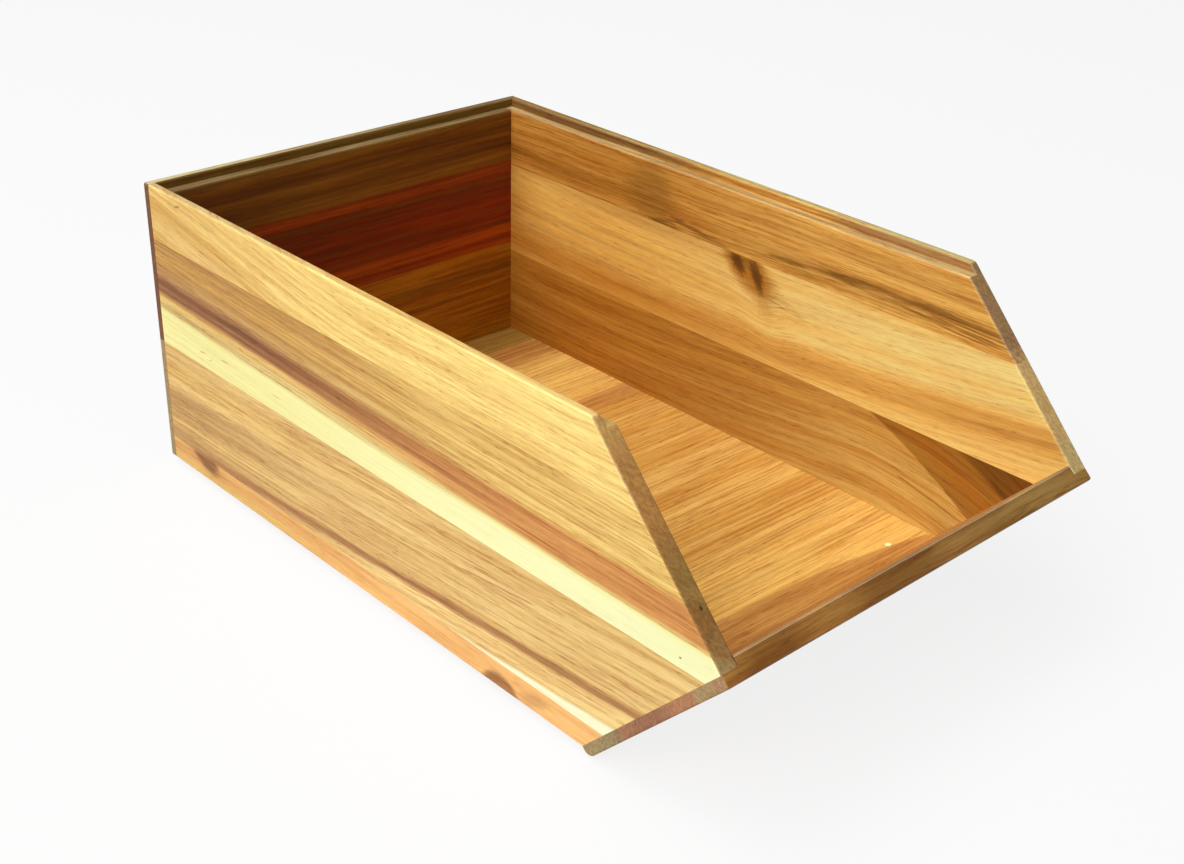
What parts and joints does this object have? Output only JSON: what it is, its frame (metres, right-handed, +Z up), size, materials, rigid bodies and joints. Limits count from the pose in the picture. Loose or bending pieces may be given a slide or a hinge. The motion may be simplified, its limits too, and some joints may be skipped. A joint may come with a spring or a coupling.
{
  "type": "wooden pantry bin",
  "caption": "Open wooden storage bin with slanted pentagonal sides, a low sloping front for reaching in, and a stepped rim so that bins stack.",
  "frame": {"origin": "centre of the bin's footprint, on the surface that it stands on", "axes": "+Z up, +Y towards the back, -Y towards the low open front, +X to the bin's right seen from the front"},
  "size_m": [0.21, 0.353, 0.1383],
  "materials": {
    "pale_honey_wood": "satin",
    "honey_wood": "satin",
    "tan_wood": "satin",
    "orange_tan_wood": "satin",
    "streaked_gold_wood": "satin",
    "gold_wood": "satin",
    "russet_wood": "satin",
    "umber_wood": "satin",
    "red_brown_wood": "satin",
    "brown_wood": "satin",
    "floor_gold_wood": "satin",
    "floor_grey_wood": "satin",
    "olive_brown_wood": "satin",
    "mauve_brown_wood": "satin"
  },
  "bodies": {
    "root": {"left_side_bottom_stave": "orange_tan_wood", "left_side_lower_stave": "tan_wood", "left_side_upper_stave": "honey_wood", "left_side_top_stave": "pale_honey_wood", "right_side_bottom_stave": "russet_wood", "right_side_lower_stave": "russet_wood", "right_side_upper_stave": "gold_wood", "right_side_top_stave": "streaked_gold_wood", "back_bottom_stave": "brown_wood", "back_lower_stave": "brown_wood", "back_upper_stave": "red_brown_wood", "back_top_stave": "umber_wood", "floor_stave_1": "floor_grey_wood", "floor_stave_2": "floor_gold_wood", "floor_stave_3": "floor_gold_wood", "floor_stave_4": "floor_gold_wood", "floor_stave_5": "floor_gold_wood", "floor_stave_6": "floor_gold_wood", "front_board_lower_stave": "olive_brown_wood", "front_board_middle_stave": "mauve_brown_wood", "front_board_upper_stave": "olive_brown_wood"}
  },
  "joints": []
}
